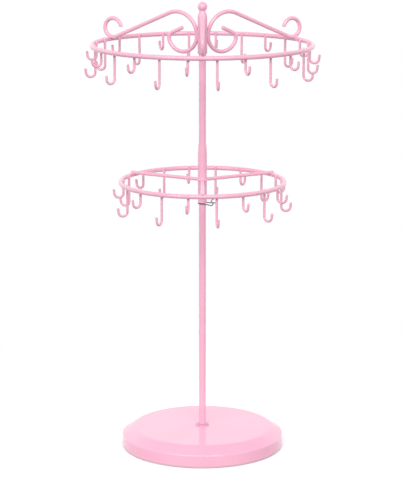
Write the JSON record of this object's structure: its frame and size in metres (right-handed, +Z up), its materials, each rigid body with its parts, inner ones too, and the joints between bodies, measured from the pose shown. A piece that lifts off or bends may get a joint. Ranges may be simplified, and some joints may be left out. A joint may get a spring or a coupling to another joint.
{
  "type": "necklace stand",
  "caption": "Free-standing necklace stand: a weighted round base, a slim pole and tiers of turning hook rings, the lower tier set at any height by a spring clip on the pole.",
  "frame": {"origin": "middle of the underside of the base, on the table", "axes": "+Z up along the pole, -Y towards the front, +X to the right as seen from the front"},
  "size_m": [0.2308, 0.2308, 0.4499],
  "materials": {
    "pink_paint": "gloss pink powder coat",
    "spring_steel": "drawn spring wire",
    "zinc_steel": "zinc plated",
    "cast_iron": "raw casting",
    "foam_pad": "matt closed-cell foam"
  },
  "bodies": {
    "stand": {"base_shell": "pink_paint", "base_weight": "cast_iron", "base_pad": "foam_pad", "base_screw": "zinc_steel", "foot_collar": "pink_paint", "pole": "pink_paint"},
    "clip": {"spring_clip": "spring_steel"},
    "lower_tier": {"lower_sleeve": "pink_paint", "lower_ring": "pink_paint", "lower_spoke_1": "pink_paint", "lower_spoke_2": "pink_paint", "lower_spoke_3": "pink_paint", "lower_hook_01": "pink_paint", "lower_hook_02": "pink_paint", "lower_hook_03": "pink_paint", "lower_hook_04": "pink_paint", "lower_hook_05": "pink_paint", "lower_hook_06": "pink_paint", "lower_hook_07": "pink_paint", "lower_hook_08": "pink_paint", "lower_hook_09": "pink_paint", "lower_hook_10": "pink_paint", "lower_hook_11": "pink_paint", "lower_hook_12": "pink_paint", "lower_hook_13": "pink_paint", "lower_hook_14": "pink_paint", "lower_hook_15": "pink_paint", "lower_hook_16": "pink_paint", "lower_hook_17": "pink_paint", "lower_hook_18": "pink_paint"},
    "upper_tier": {"upper_hub": "pink_paint", "finial_ball": "pink_paint", "upper_ring": "pink_paint", "upper_scroll_1": "pink_paint", "upper_scroll_2": "pink_paint", "upper_scroll_3": "pink_paint", "upper_hook_01": "pink_paint", "upper_hook_02": "pink_paint", "upper_hook_03": "pink_paint", "upper_hook_04": "pink_paint", "upper_hook_05": "pink_paint", "upper_hook_06": "pink_paint", "upper_hook_07": "pink_paint", "upper_hook_08": "pink_paint", "upper_hook_09": "pink_paint", "upper_hook_10": "pink_paint", "upper_hook_11": "pink_paint", "upper_hook_12": "pink_paint", "upper_hook_13": "pink_paint", "upper_hook_14": "pink_paint", "upper_hook_15": "pink_paint", "upper_hook_16": "pink_paint", "upper_hook_17": "pink_paint", "upper_hook_18": "pink_paint", "upper_hook_19": "pink_paint", "upper_hook_20": "pink_paint", "upper_hook_21": "pink_paint", "upper_hook_22": "pink_paint", "upper_hook_23": "pink_paint", "upper_hook_24": "pink_paint"}
  },
  "joints": [
    {"name": "upper_tier_spin", "type": "hinge", "parent": "stand", "child": "upper_tier", "pos_m": [0, 0, 0.4342], "axis": [0, 0, 1], "continuous": true},
    {"name": "clip_slide", "type": "slide", "parent": "stand", "child": "clip", "axis": [0, 0, 1], "range_m": [-0.21, 0.085]},
    {"name": "lower_tier_spin", "type": "hinge", "parent": "clip", "child": "lower_tier", "pos_m": [0, 0, 0.25045], "axis": [0, 0, 1], "continuous": true}
  ]
}
